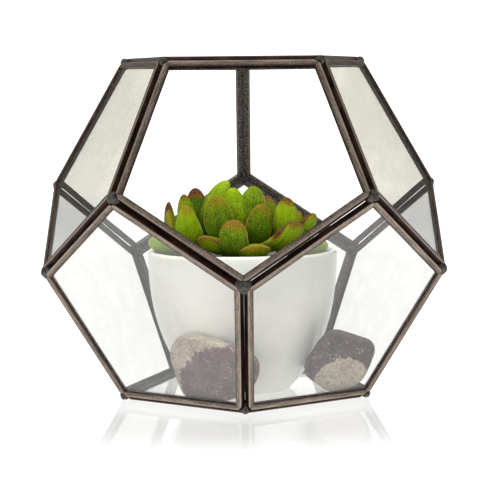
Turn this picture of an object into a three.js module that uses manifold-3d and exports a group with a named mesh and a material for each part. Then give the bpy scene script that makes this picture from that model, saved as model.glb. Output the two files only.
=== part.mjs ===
// A geometric glass terrarium with a potted succulent and two pebbles.
// Twelve pentagon frames of folded metal channel stand face to face as a regular dodecahedron and
// are soldered together at its twenty corners. Eleven frames hold a pane; the front upper one is
// the open doorway. A glazed pot of succulents and two pebbles stand on the bottom pane.
// Millimetres, +Z up, the doorway faces -Y, the origin is the middle of the foot.
import * as THREE from 'three';
import { mergeVertices } from 'three/addons/utils/BufferGeometryUtils.js';
import Module from 'manifold-3d';

const wasm = await Module();
wasm.setup();

// ---------------------------------------------------------------- driving dimensions
const EDGE = 70; // edge of the dodecahedron on the frames' inner faces
const CHANNEL_DEPTH = 2.9; // how far a flange reaches over the glass
const CHANNEL_THICKNESS = 3.4; // over both flanges
const SHEET = 0.4; // metal sheet that the channel is folded from
const SLIT = 0.2; // each frame stops short of the shared edge by this
const CORNER_NIP = 1.6; // each frame's corner is nipped this far from the true corner
const GLASS = 2; // pane thickness
const GLASS_SETBACK = 1.5; // pane edge behind the frame's outer edge
const GAP = 0.3; // clearance between neighbours
const REST = 0.1; // the pot's foot above the bottom pane

const SOLDER_WIDE = 4.1; // half width of a solder joint along the surface
const SOLDER_OUT = 3.7; // how far it stands out from the true corner

const POT_RADIUS = 45.3; // at the rim
const POT_TOP = 70.4; // rim height above the table
const POT_WALL = 3.2;
const POT_FLOOR = 5; // thickness of the pot's own floor
const POT_CURVE_DEPTH = 77; // depth below the rim at which its egg-shaped curve would close
const POT_CURVE_POWER = 2.3;
const POT_CURVE_ROUND = 0.556;
const POT_AXIS_X = -0.8;
const SOIL_TOP = 64; // at the middle
const SOIL_EDGE = 61.5; // at the pot's wall
const SOIL_CROWN = 0.8; // how far it bulges above a straight slope half way out

const STEM_RADIUS = 4.2;
const STEM_DEPTH = 14; // length of stem in the potting mix
const STEM_TOP = 7; // length of stem above the collar
const STEM_TAPER = 0.6; // the stem's last bevel, as a share of its length and radius
const COLLAR = SOIL_TOP + 2; // height from which the leaves' rise is counted
const LEAF_THICKNESS = 6.6;
const LEAF_ROOT_OUT = 1.7; // a leaf's middle line starts this far from the stem's axis
const LEAF_ROOT_RISE = 0.2; // and at this share of the leaf's rise

// ---------------------------------------------------------------- sizes that follow
const TURN = Math.PI * 2;
const FIFTH = TURN / 5;
const RADIANS = Math.PI / 180;
const FRONT = -90 * RADIANS;
const PENTAGON_RADIUS = EDGE / 2 / Math.sin(FIFTH / 2);
const PENTAGON_APOTHEM = EDGE / 2 / Math.tan(FIFTH / 2);
const GOLDEN = (1 + Math.sqrt(5)) / 2;
const IN_RADIUS = (EDGE / 2) * Math.sqrt(5 / 2 + (11 / 10) * Math.sqrt(5));
const CORNER_RADIUS = (EDGE / 2) * Math.sqrt(3) * GOLDEN;
const FACE_TILT = Math.atan(1 / 2); // a belt face's normal, above or below level
const CORNER_TILT = Math.acos(IN_RADIUS / CORNER_RADIUS); // between a corner's and a face's direction
const END_CORNER_RISE = Math.atan2(IN_RADIUS, PENTAGON_RADIUS);
const BELT_CORNER_RISE = Math.atan2(IN_RADIUS - PENTAGON_RADIUS, PENTAGON_RADIUS * GOLDEN);
const CENTRE_HEIGHT = CHANNEL_THICKNESS + IN_RADIUS;
const FRAME_APOTHEM = PENTAGON_APOTHEM - SLIT;
const NIP_APOTHEM = PENTAGON_RADIUS - CORNER_NIP;
const GLASS_LOW = (CHANNEL_THICKNESS - GLASS) / 2;
const GLASS_TOP = GLASS_LOW + GLASS; // upper face of the bottom pane

// ---------------------------------------------------------------- finishes
const FINISH = {
  patina: { color: 0x4a3c33, roughness: 0.42, metalness: 0.9 },
  solder: { color: 0x3b3734, roughness: 0.6, metalness: 0.8 },
  glass: { color: 0xdfe4da, roughness: 0.02, metalness: 0, transparent: true, opacity: 0.25 },
  glaze: { color: 0xe9e8e2, roughness: 0.12, metalness: 0 },
  soil: { color: 0x2e241b, roughness: 0.95, metalness: 0 },
  leaf: { color: 0x7ea31e, roughness: 0.4, metalness: 0 },
  stone: { color: 0x776a68, roughness: 0.7, metalness: 0 },
};

function piece(name, geometry, finish) {
  const mesh = new THREE.Mesh(geometry, new THREE.MeshStandardMaterial(FINISH[finish]));
  mesh.name = name;
  return mesh;
}

// ---------------------------------------------------------------- solids and meshes
// A closed mesh as a solid: shared vertices are merged and faces that close to a line are dropped.
function solidOf(geometry) {
  const bare = geometry.clone();
  bare.deleteAttribute('normal');
  bare.deleteAttribute('uv');
  const merged = mergeVertices(bare, 1e-4);
  const corners = merged.index.array;
  const kept = [];
  for (let i = 0; i < corners.length; i += 3) {
    const [a, b, c] = corners.slice(i, i + 3);
    if (a !== b && b !== c && c !== a) {
      kept.push(a, b, c);
    }
  }
  const vertProperties = new Float32Array(merged.attributes.position.array);
  const triVerts = new Uint32Array(kept);
  return new wasm.Manifold(new wasm.Mesh({ numProp: 3, vertProperties, triVerts }));
}

function geometryOf(solid) {
  const mesh = solid.getMesh();
  const geometry = new THREE.BufferGeometry();
  geometry.setAttribute('position', new THREE.BufferAttribute(mesh.vertProperties, 3));
  geometry.setIndex(new THREE.BufferAttribute(mesh.triVerts, 1));
  geometry.computeVertexNormals();
  return geometry;
}

// Turns a profile of [radius, height] points about Z, with its first corner at the azimuth start.
function turned(profile, segments, start) {
  const points = profile.map(([radius, height]) => new THREE.Vector2(radius, height));
  const geometry = new THREE.LatheGeometry(points, segments, start + Math.PI / 2);
  return geometry.rotateX(Math.PI / 2);
}

// A flat pentagon between two heights, with a corner at the azimuth start.
function pentagonPlate(apothem, low, high, start) {
  const radius = apothem / Math.cos(FIFTH / 2);
  const profile = [[0, low], [radius, low], [radius, high], [0, high]];
  return solidOf(turned(profile, 5, start));
}

// ---------------------------------------------------------------- frames and panes
// Each face lies in its own plane: Z out of the dodecahedron, 0 on the frames' inner face, one
// corner on -X and the middle of the opposite edge on +X.
function nipped(solid, nipApothem, low, high) {
  return solid.intersect(pentagonPlate(nipApothem, low, high, 0));
}

function channelFrame() {
  const outer = FRAME_APOTHEM;
  const web = outer - SHEET;
  const lip = outer - CHANNEL_DEPTH;
  const top = CHANNEL_THICKNESS;
  const section = [
    [lip, 0],
    [outer, 0],
    [outer, top],
    [lip, top],
    [lip, top - SHEET],
    [web, top - SHEET],
    [web, SHEET],
    [lip, SHEET],
    [lip, 0],
  ];
  const corners = section.map(([apothem, height]) => [apothem / Math.cos(FIFTH / 2), height]);
  const ring = solidOf(turned(corners, 5, Math.PI));
  return geometryOf(nipped(ring, NIP_APOTHEM, -GAP, top + GAP));
}

function glassPane() {
  const apothem = FRAME_APOTHEM - GLASS_SETBACK;
  return geometryOf(pentagonPlate(apothem, GLASS_LOW, GLASS_LOW + GLASS, Math.PI));
}

// ---------------------------------------------------------------- solder joints
// The room that one frame needs beside a corner, seen from that corner: Z away from the middle of
// the dodecahedron, the face's middle on the side that turn says.
function frameRoom(turn) {
  const low = -GAP;
  const high = CHANNEL_THICKNESS + GAP;
  const plate = pentagonPlate(FRAME_APOTHEM + GAP, low, high, Math.PI);
  const room = nipped(plate, NIP_APOTHEM + GAP, low, high);
  const degrees = 1 / RADIANS;
  return room
    .translate([PENTAGON_RADIUS, 0, 0])
    .rotate([0, CORNER_TILT * degrees, 0])
    .rotate([0, 0, turn * degrees]);
}

// A lump that fills the three grooves at a corner and laps over the frames' ends.
function solderJoint(dressedFlat) {
  const lump = new THREE.IcosahedronGeometry(1, 1);
  lump.scale(SOLDER_WIDE, SOLDER_WIDE, SOLDER_OUT);
  let joint = solidOf(lump);
  for (const turn of [0, TURN / 3, (2 * TURN) / 3]) {
    joint = joint.subtract(frameRoom(turn));
  }
  if (dressedFlat) {
    joint = joint.subtract(belowFoot());
  }
  return geometryOf(joint);
}

// Everything below the bottom frame's face, seen from one of its corners.
function belowFoot() {
  const size = 4 * SOLDER_WIDE;
  const slab = new THREE.BoxGeometry(size, size, size);
  slab.translate(0, 0, CHANNEL_THICKNESS + size / 2);
  slab.rotateY(CORNER_TILT);
  return solidOf(slab);
}

// ---------------------------------------------------------------- shell
// Puts a mesh on the dodecahedron: out along a direction of this azimuth and rise, spun about it.
function onShell(mesh, azimuth, rise, distance, spin) {
  mesh.position.z = distance;
  mesh.rotation.z = spin;
  const tilt = new THREE.Group();
  tilt.rotation.y = Math.PI / 2 - rise;
  tilt.add(mesh);
  const direction = new THREE.Group();
  direction.rotation.z = azimuth;
  direction.add(tilt);
  return direction;
}

function shell() {
  const group = new THREE.Group();
  group.position.z = CENTRE_HEIGHT;
  const frame = channelFrame();
  const pane = glassPane();
  const faces = [
    ['bottom', FRONT, -Math.PI / 2, 0],
    ['top', FRONT, Math.PI / 2, 0],
  ];
  const joints = [];
  for (let k = 0; k < 5; k += 1) {
    const even = FRONT + k * FIFTH;
    const odd = even + FIFTH / 2;
    faces.push([`upper_${k + 1}`, even, FACE_TILT, Math.PI]);
    faces.push([`lower_${k + 1}`, odd, -FACE_TILT, 0]);
    joints.push([`foot_${k + 1}`, even, -END_CORNER_RISE, 0]);
    joints.push([`low_${k + 1}`, even, -BELT_CORNER_RISE, Math.PI]);
    joints.push([`high_${k + 1}`, odd, BELT_CORNER_RISE, 0]);
    joints.push([`top_${k + 1}`, odd, END_CORNER_RISE, Math.PI]);
  }
  for (const [name, azimuth, rise, spin] of faces) {
    group.add(onShell(piece(`frame_${name}`, frame, 'patina'), azimuth, rise, IN_RADIUS, spin));
    if (name !== 'upper_1') {
      group.add(onShell(piece(`pane_${name}`, pane, 'glass'), azimuth, rise, IN_RADIUS, spin));
    }
  }
  const plain = solderJoint(false);
  const foot = solderJoint(true);
  for (const [name, azimuth, rise, spin] of joints) {
    const geometry = name.startsWith('foot') ? foot : plain;
    group.add(onShell(piece(`solder_${name}`, geometry, 'solder'), azimuth, rise, CORNER_RADIUS, spin));
  }
  return group;
}

// ---------------------------------------------------------------- pot and potting mix
// Outside radius at a height: R * (1 - depth^power)^round, an egg-shaped curve cut off at the foot.
function potRadius(height) {
  const depth = (POT_TOP - height) / POT_CURVE_DEPTH;
  return POT_RADIUS * (1 - depth ** POT_CURVE_POWER) ** POT_CURVE_ROUND;
}

// Points on a wall inset by this much, from one height to another.
function potWall(inset, from, to, steps) {
  const points = [];
  for (let i = 0; i <= steps; i += 1) {
    const height = from + ((to - from) * i) / steps;
    points.push([potRadius(height) - inset, height]);
  }
  return points;
}

const POT_FOOT = GLASS_TOP + REST;
const POT_INSIDE = POT_FOOT + POT_FLOOR;
const POT_SEGMENTS = 48;

function pot() {
  const lip = POT_WALL / 4;
  const profile = [
    [0, POT_FOOT],
    ...potWall(0, POT_FOOT, POT_TOP - lip, 9),
    [POT_RADIUS - lip, POT_TOP],
    [POT_RADIUS - POT_WALL + lip, POT_TOP],
    ...potWall(POT_WALL, POT_TOP - lip, POT_INSIDE, 7),
    [0, POT_INSIDE],
  ];
  return solidOf(turned(profile, POT_SEGMENTS, 0));
}

function pottingMix() {
  const profile = [
    [0, POT_INSIDE + GAP],
    ...potWall(POT_WALL + GAP, POT_INSIDE + GAP, SOIL_EDGE, 6),
    [POT_RADIUS / 2, (SOIL_TOP + SOIL_EDGE) / 2 + SOIL_CROWN],
    [0, SOIL_TOP],
  ];
  let mix = solidOf(turned(profile, POT_SEGMENTS / 2, 0));
  for (const head of HEADS) {
    mix = mix.subtract(stemHole(head));
  }
  return mix;
}

// ---------------------------------------------------------------- succulent
// Each head: where its stem stands, then its leaves. A leaf turns to an azimuth in degrees (-90 is
// the front), reaches out and rises to its tip, and curls upwards (positive) or droops (negative).
// Its flat side faces its own azimuth, or the one that face gives where it is twisted.
const HEADS = [
  {
    name: 'left',
    x: -20.7,
    y: 4,
    leaves: [
      { turn: 176, reach: 15, rise: 27, width: 12.5, curl: 1.1 },
      { turn: -118, reach: 13.5, rise: 25, width: 13.5, curl: 0.8, face: -100 },
      { turn: 158, reach: 6.8, rise: 31, width: 10.5, curl: 0.5, face: 100 },
      { turn: 116, reach: 7, rise: 33, width: 11.5, curl: 0.3, face: 95 },
      { turn: -152, reach: 23.5, rise: 13.5, width: 14, curl: 0.2 },
      { turn: 20, reach: 16.5, rise: 38, width: 10.5, curl: -0.7, face: 42 },
      { turn: 142, reach: 17, rise: 16, width: 13, curl: 0.4 },
      { turn: 92, reach: 22, rise: 15, width: 14, curl: 0.4 },
    ],
  },
  {
    name: 'middle',
    x: 0,
    y: -5,
    leaves: [
      { turn: -143, reach: 15, rise: 31, width: 15, curl: 1, face: -98 },
      { turn: 146, reach: 6, rise: 34, width: 12, curl: 0.2, face: 92 },
      { turn: 45, reach: 9.5, rise: 35, width: 14.5, curl: 0.3, face: 75 },
      { turn: -40, reach: 12, rise: 26.5, width: 13.5, curl: 0.9, face: -82 },
      { turn: -103, reach: 22, rise: 20, width: 15, curl: 0.7, face: -95 },
      { turn: -72, reach: 29, rise: 9, width: 16.5, curl: 0.4 },
      { turn: -128, reach: 30, rise: 12, width: 13.5, curl: 0.3 },
      { turn: -30, reach: 29.4, rise: 19, width: 16, curl: 0.3, face: -50 },
      { turn: 88, reach: 30, rise: 14, width: 15, curl: 0.4 },
    ],
  },
  {
    name: 'right',
    x: 20.6,
    y: 5,
    leaves: [
      { turn: -78, reach: 9, rise: 29, width: 13, curl: 0.4, face: -95 },
      { turn: 160, reach: 9, rise: 29, width: 11, curl: 0.4, face: 120 },
      { turn: 12, reach: 6, rise: 22.5, width: 12.5, curl: 0.4, face: 60 },
      { turn: -14, reach: 15, rise: 21, width: 11, curl: 0.2, face: -50 },
      { turn: -32, reach: 22.5, rise: 8.5, width: 14.5, curl: 0.1 },
      { turn: 35, reach: 17, rise: 16, width: 13, curl: 0.4 },
      { turn: 85, reach: 22, rise: 15, width: 14, curl: 0.4 },
    ],
  },
];

const LEAF_SIDES = 6;
// Places along a leaf, its half width and half thickness there as shares of the largest.
const LEAF_RINGS = [
  [0, 0.42, 0.45],
  [0.16, 0.66, 0.7],
  [0.36, 0.9, 0.92],
  [0.56, 1, 1],
  [0.76, 0.93, 0.86],
  [0.9, 0.68, 0.6],
  [0.975, 0.36, 0.32],
];

// The middle line of a leaf is a quadratic curve from inside the stem to the tip. Its handle is
// half way out and 0.55 of the way up for a nearly straight leaf, and curl sends it outwards and
// down, so that the leaf leaves the stem level and ends upright.
function leafLine({ turn, reach, rise, curl }) {
  const away = new THREE.Vector3(Math.cos(turn * RADIANS), Math.sin(turn * RADIANS), 0);
  const at = (out, up) => away.clone().multiplyScalar(out).setZ(up);
  const root = at(LEAF_ROOT_OUT, rise * LEAF_ROOT_RISE);
  const tip = at(reach, rise);
  const handle = at(reach * (0.5 + 0.5 * curl), rise * (0.55 - 0.25 * curl));
  return new THREE.QuadraticBezierCurve3(root, handle, tip);
}

function leaf(row) {
  const line = leafLine(row);
  const face = (row.face ?? row.turn) * RADIANS;
  const level = new THREE.Vector3(-Math.sin(face), Math.cos(face), 0);
  const positions = [];
  for (const [share, wide, thick] of LEAF_RINGS) {
    const middle = line.getPoint(share);
    const along = line.getTangent(share);
    const through = along.clone().cross(level).normalize();
    const across = through.clone().cross(along);
    for (let i = 0; i < LEAF_SIDES; i += 1) {
      const angle = (TURN * i) / LEAF_SIDES;
      const point = middle.clone();
      point.addScaledVector(across, (row.width / 2) * wide * Math.cos(angle));
      point.addScaledVector(through, (LEAF_THICKNESS / 2) * thick * Math.sin(angle));
      positions.push(...point.toArray());
    }
  }
  positions.push(...line.getPoint(0).toArray(), ...line.getPoint(1).toArray());
  const geometry = new THREE.BufferGeometry();
  geometry.setAttribute('position', new THREE.Float32BufferAttribute(positions, 3));
  geometry.setIndex(leafFaces());
  return solidOf(geometry);
}

function leafFaces() {
  const faces = [];
  const root = LEAF_RINGS.length * LEAF_SIDES;
  const last = root - LEAF_SIDES;
  for (let i = 0; i < LEAF_SIDES; i += 1) {
    const next = (i + 1) % LEAF_SIDES;
    for (let ring = 0; ring < last; ring += LEAF_SIDES) {
      const above = ring + LEAF_SIDES;
      faces.push(ring + i, ring + next, above + next, ring + i, above + next, above + i);
    }
    faces.push(root, next, i, root + 1, last + i, last + next);
  }
  return faces;
}

function stem(radius, below) {
  const profile = [
    [0, -below],
    [radius, -below],
    [radius, STEM_TOP * STEM_TAPER],
    [radius * STEM_TAPER, STEM_TOP],
    [0, STEM_TOP],
  ];
  return solidOf(turned(profile, 12, 0));
}

function stemHole({ x, y }) {
  return stem(STEM_RADIUS + GAP, STEM_DEPTH + GAP).translate([x, y, COLLAR]);
}

function succulentHead({ leaves, x, y }) {
  let head = stem(STEM_RADIUS, STEM_DEPTH);
  for (const row of leaves) {
    head = head.add(leaf(row));
  }
  return geometryOf(head.translate([x, y, COLLAR]));
}

// ---------------------------------------------------------------- pebbles
// A pebble is a rounded block: each facet has a direction (across, back, up) and a distance from
// the middle, and the surface is the power mean of all of them, which wears the edges round.
const PEBBLES = [
  {
    name: 'left',
    x: -14,
    y: -43.25,
    facets: [
      [[-0.957, 0, -0.288], 18.8],
      [[0.05, 0, -1], 16.2],
      [[0.7, 0, -0.71], 17.5],
      [[0.99, 0, -0.11], 20.4],
      [[0.563, 0, 0.826], 16.8],
      [[0.2, 0, 0.98], 14.4],
      [[-0.65, 0, 0.76], 20.2],
      [[-0.588, -0.809, -0.45], 8],
      [[0.588, 0.809, 0.45], 7],
    ],
  },
  {
    name: 'right',
    x: 44,
    y: -20,
    facets: [
      [[0.361, 0, 0.933], 15],
      [[0.957, 0, -0.291], 14.9],
      [[0.674, 0, -0.739], 15.2],
      [[0.173, 0, -0.985], 15.1],
      [[-0.646, 0, -0.763], 14.4],
      [[-0.89, 0, 0.455], 14],
      [[-0.616, 0, 0.788], 16.2],
      [[0.259, -0.966, -0.45], 8.8],
      [[-0.259, 0.966, 0.45], 8],
    ],
  },
];
const PEBBLE_WEAR = 8; // the power: a higher one keeps sharper edges
const PEBBLE_DETAIL = 4; // each face of the icosahedron is cut into 25

function pebbleReach(direction, facets) {
  let sum = 0;
  for (const [normal, distance] of facets) {
    const facing = direction.dot(new THREE.Vector3(...normal).normalize());
    sum += Math.max(0, facing / distance) ** PEBBLE_WEAR;
  }
  return sum ** (-1 / PEBBLE_WEAR);
}

function pebble({ x, y, facets }) {
  const geometry = new THREE.IcosahedronGeometry(1, PEBBLE_DETAIL);
  const positions = geometry.attributes.position;
  const point = new THREE.Vector3();
  for (let i = 0; i < positions.count; i += 1) {
    point.fromBufferAttribute(positions, i).normalize();
    point.multiplyScalar(pebbleReach(point, facets));
    positions.setXYZ(i, ...point.toArray());
  }
  geometry.computeBoundingBox();
  geometry.translate(x, y, GLASS_TOP + GAP - geometry.boundingBox.min.z);
  return geometryOf(solidOf(geometry));
}

// ---------------------------------------------------------------- assembly
const terrarium = new THREE.Group();
terrarium.add(shell());

const planted = new THREE.Group();
planted.position.x = POT_AXIS_X;
planted.add(piece('pot', geometryOf(pot()), 'glaze'));
planted.add(piece('potting_mix', geometryOf(pottingMix()), 'soil'));
for (const head of HEADS) {
  planted.add(piece(`succulent_${head.name}`, succulentHead(head), 'leaf'));
}
terrarium.add(planted);

for (const stone of PEBBLES) {
  terrarium.add(piece(`pebble_${stone.name}`, pebble(stone), 'stone'));
}

export default terrarium;
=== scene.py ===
import bpy
import numpy as np
from mathutils import Matrix, Vector


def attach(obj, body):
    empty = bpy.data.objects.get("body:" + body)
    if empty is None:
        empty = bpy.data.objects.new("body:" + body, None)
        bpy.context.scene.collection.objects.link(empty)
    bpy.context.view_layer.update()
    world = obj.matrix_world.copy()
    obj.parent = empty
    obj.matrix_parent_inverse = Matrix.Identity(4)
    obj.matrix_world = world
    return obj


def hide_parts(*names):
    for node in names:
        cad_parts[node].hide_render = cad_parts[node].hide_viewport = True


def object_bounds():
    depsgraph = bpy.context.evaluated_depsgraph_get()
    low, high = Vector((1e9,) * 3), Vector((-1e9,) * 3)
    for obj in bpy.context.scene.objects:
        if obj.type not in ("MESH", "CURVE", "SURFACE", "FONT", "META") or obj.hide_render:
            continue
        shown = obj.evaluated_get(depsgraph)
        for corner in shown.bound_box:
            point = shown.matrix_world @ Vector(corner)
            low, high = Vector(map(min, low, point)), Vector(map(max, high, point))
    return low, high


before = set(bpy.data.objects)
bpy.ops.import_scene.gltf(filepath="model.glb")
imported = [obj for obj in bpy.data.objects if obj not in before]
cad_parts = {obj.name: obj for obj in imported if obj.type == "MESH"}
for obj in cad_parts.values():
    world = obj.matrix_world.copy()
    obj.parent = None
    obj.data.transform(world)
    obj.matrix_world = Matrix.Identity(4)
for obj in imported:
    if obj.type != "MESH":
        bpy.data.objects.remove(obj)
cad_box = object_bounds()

# ---------------------------------------------------------------- frames
# Twelve pentagon frames of thin brass channel with a brown-black patina, one round each face of a
# dodecahedron. Each is folded round its pane's edge, sealed with dark putty and mitred at the
# corners. The front upper one is the doorway and holds no glass. A groove parts the neighbours.
MM = 0.001
EDGE = 70
FIFTH = 2 * np.pi / 5
GOLDEN = (1 + np.sqrt(5)) / 2
IN_RADIUS = EDGE / 2 * np.sqrt(2.5 + 1.1 * np.sqrt(5))
PENTAGON_RADIUS = EDGE / 2 / np.sin(FIFTH / 2)
PENTAGON_APOTHEM = EDGE / 2 / np.tan(FIFTH / 2)
FACE_TILT = np.arctan(0.5)
CHANNEL_DEPTH = 2.9
CHANNEL_THICKNESS = 3.4
CROWN = 0.14
SHEET = 0.4
SEAL = 2.75
CORNER_NIP = 1.1
CLOSED_SLIT = -0.05
MITRE_GROOVE = 0.14
NEAR_MITRE = [0.93, 0.95, 0.975, 0.993]
FLANGE_TO = 0.5
FLANGE_FADE = 0.4
CENTRE_HEIGHT = CHANNEL_THICKNESS + IN_RADIUS
FRONT = -np.pi / 2
FACES = {
    "bottom": (FRONT, -np.pi / 2, 0),
    "top": (FRONT, np.pi / 2, 0),
    **{f"upper_{k + 1}": (FRONT + k * FIFTH, FACE_TILT, np.pi) for k in range(5)},
    **{f"lower_{k + 1}": (FRONT + (k + 0.5) * FIFTH, -FACE_TILT, 0) for k in range(5)},
}
# Where two neighbours don't quite meet, light shows through the bottom of their groove. Each
# stands back by this much towards its ends there, and by less in the middle.
OPEN_SLITS = [
    ({"upper_1", "lower_1"}, 0.12),
    ({"upper_4", "lower_4"}, 0.2),
    ({"upper_3", "lower_2"}, 0.2),
    ({"lower_1", "lower_5"}, 0.02),
]


class Socket:
    """A node's output. Arithmetic on it adds Math nodes, in either order, so 1 - mask works."""

    def __init__(self, finish, output):
        self.finish = finish
        self.output = output

    def maths(self, operation, *values, clamp=False):
        settings = {"operation": operation, "use_clamp": clamp}
        return self.finish.add("Math", settings, dict(enumerate(values)))

    def __add__(self, other):
        return self.maths("ADD", self, other)

    def __sub__(self, other):
        return self.maths("SUBTRACT", self, other)

    def __rsub__(self, other):
        return self.maths("SUBTRACT", other, self)

    def __mul__(self, other):
        return self.maths("MULTIPLY", self, other)

    __radd__ = __add__
    __rmul__ = __mul__

    def eased(self, low, high):
        """0 at low, 1 at high and a smooth S between them. It falls where low is over high."""
        settings = {"interpolation_type": "SMOOTHSTEP"}
        return self.finish.add("MapRange", settings, {0: self, 1: low, 2: high})


class Finish:
    """The nodes of a material or a world. add() makes every one of them."""

    def __init__(self, owner):
        self.owner = owner
        owner.use_nodes = True
        self.tree = owner.node_tree
        self.tree.nodes.clear()

    def add(self, kind, settings, sockets, out=0):
        """One output of a new node, or the owner itself where the node has none."""
        node = self.tree.nodes.new("ShaderNode" + kind)
        for name, value in settings.items():
            setattr(node, name, value)
        for name, value in sockets.items():
            if isinstance(value, Socket):
                self.tree.links.new(value.output, node.inputs[name])
            else:
                node.inputs[name].default_value = value
        return Socket(self, node.outputs[out]) if node.outputs else self.owner

    def field(self, name):
        """A number that the mesh carries at each point."""
        return self.add("Attribute", {"attribute_name": name}, {}, "Fac")

    def place(self):
        return self.add("TexCoord", {}, {}, "Object")

    def stretched(self, vector, scale, shift=(0, 0, 0)):
        """The vector times the scale, plus the shift."""
        scaled = self.add("VectorMath", {"operation": "MULTIPLY"}, {0: vector, 1: scale})
        return self.add("VectorMath", {"operation": "ADD"}, {0: scaled, 1: shift})

    def noise(self, vector, scale, detail=2, roughness=0.5):
        sockets = {"Vector": vector, "Scale": scale, "Detail": detail, "Roughness": roughness}
        return self.add("TexNoise", {}, sockets)

    def spots(self, vector, scale):
        """The distance to the nearest of many scattered points."""
        return self.add("TexVoronoi", {}, {"Vector": vector, "Scale": scale}, "Distance")

    def axis(self, vector, k):
        """Its X, Y or Z, for k of 0, 1 or 2."""
        return self.add("SeparateXYZ", {}, {0: vector}, k)

    def distance(self, vector):
        """How long it is."""
        return self.add("VectorMath", {"operation": "LENGTH"}, {0: vector}, 1)

    def blend(self, share, first, second):
        """The first colour where share is 0, the second where it is 1."""
        first, second = ((*c, 1) if isinstance(c, tuple) else c for c in (first, second))
        sockets = {0: share, 6: first, 7: second}
        return self.add("Mix", {"data_type": "RGBA"}, sockets, 2)

    def bump(self, height, distance, strength):
        sockets = {"Height": height, "Distance": distance, "Strength": strength}
        return self.add("Bump", {}, sockets)

    def surface(self, sockets):
        """The owner, with a Principled shader of these sockets on its output."""
        shader = self.add("BsdfPrincipled", {}, sockets)
        return self.add("OutputMaterial", {}, {"Surface": shader})


def grid_faces(rows, columns, ring_of_rows):
    """Four-sided faces between neighbours of a grid that is counted row by row. Columns run round,
    and so do rows if asked."""
    row = np.arange(rows if ring_of_rows else rows - 1)[:, None]
    column = np.arange(columns)[None, :]
    above, right = (row + 1) % rows, (column + 1) % columns
    near, far = row * columns, above * columns
    corners = near + column, near + right, far + right, far + column
    return np.stack(np.broadcast_arrays(*corners), -1).reshape(-1, 4)


def turn_z(angle):
    """The matrix that turns rows of points from X towards Y."""
    c, s = np.cos(angle), np.sin(angle)
    return np.array([[c, s, 0], [-s, c, 0], [0, 0, 1]])


def tip_y(angle):
    """The matrix that tips rows of points from Z towards X."""
    c, s = np.cos(angle), np.sin(angle)
    return np.array([[c, 0, -s], [0, 1, 0], [s, 0, c]])


def on_shell(points, azimuth, rise, distance, spin):
    """Spun about Z, pushed out along Z, tipped from straight up to the rise, turned to the azimuth
    and lifted to the middle of the dodecahedron."""
    out = points @ turn_z(spin) + [0, 0, distance]
    return out @ tip_y(np.pi / 2 - rise) @ turn_z(azimuth) + [0, 0, CENTRE_HEIGHT]


def make_piece(name, points, faces, material, nodes, fields=(), smooth=True):
    """A piece from points in millimetres and faces that point out, with its numbers per point. It
    rides on the terrarium and stands for these nodes."""
    mesh = bpy.data.meshes.new(name)
    mesh.from_pydata((points * MM).tolist(), [], [f for part in faces for f in part.tolist()])
    mesh.polygons.foreach_set("use_smooth", np.full(len(mesh.polygons), smooth))
    for field, values in dict(fields).items():
        layer = mesh.attributes.new(field, "FLOAT", "POINT")
        layer.data.foreach_set("value", np.ascontiguousarray(values, np.float32).ravel())
    mesh.validate()
    mesh.materials.append(material)
    piece = bpy.data.objects.new(name, mesh)
    bpy.context.scene.collection.objects.link(piece)
    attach(piece, "root")
    if nodes:
        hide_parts(*nodes)


def rounded(corners, steps):
    """A closed outline of corners (x, y, cut). Each corner becomes the quadratic curve that has the
    corner for its handle and starts and ends at the cut's distance from it."""
    corners = np.array(corners, float)
    spots, cuts = corners[:, :2], corners[:, 2:]
    to_last = np.roll(spots, 1, 0) - spots
    to_next = np.roll(spots, -1, 0) - spots
    start = spots + to_last / np.linalg.norm(to_last, axis=1, keepdims=True) * cuts
    end = spots + to_next / np.linalg.norm(to_next, axis=1, keepdims=True) * cuts
    t = np.linspace(0, 1, steps)[None, :, None]
    curve = (1 - t) ** 2 * start[:, None] + 2 * t * (1 - t) * spots[:, None] + t**2 * end[:, None]
    return curve.reshape(-1, 2)


def channel_section(web):
    """Distance behind the frame's outer edge, and height over its inner face, round the folded
    sheet: two flanges, slightly crowned, joined along the outer edge by a web this thick."""
    top, lip = CHANNEL_THICKNESS, CHANNEL_DEPTH
    corners = [
        (lip, CROWN, 0.1), (1.6, 0, 1), (0, 0, 0.1), (0, top, 0.5), (1.7, top, 1),
        (lip, top - CROWN, 0.1), (lip, top - SHEET, 0.1), (web, top - SHEET, 0.2),
        (web, SHEET, 0.2), (lip, SHEET, 0.1),
    ]
    return rounded(corners, 6)


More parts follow.
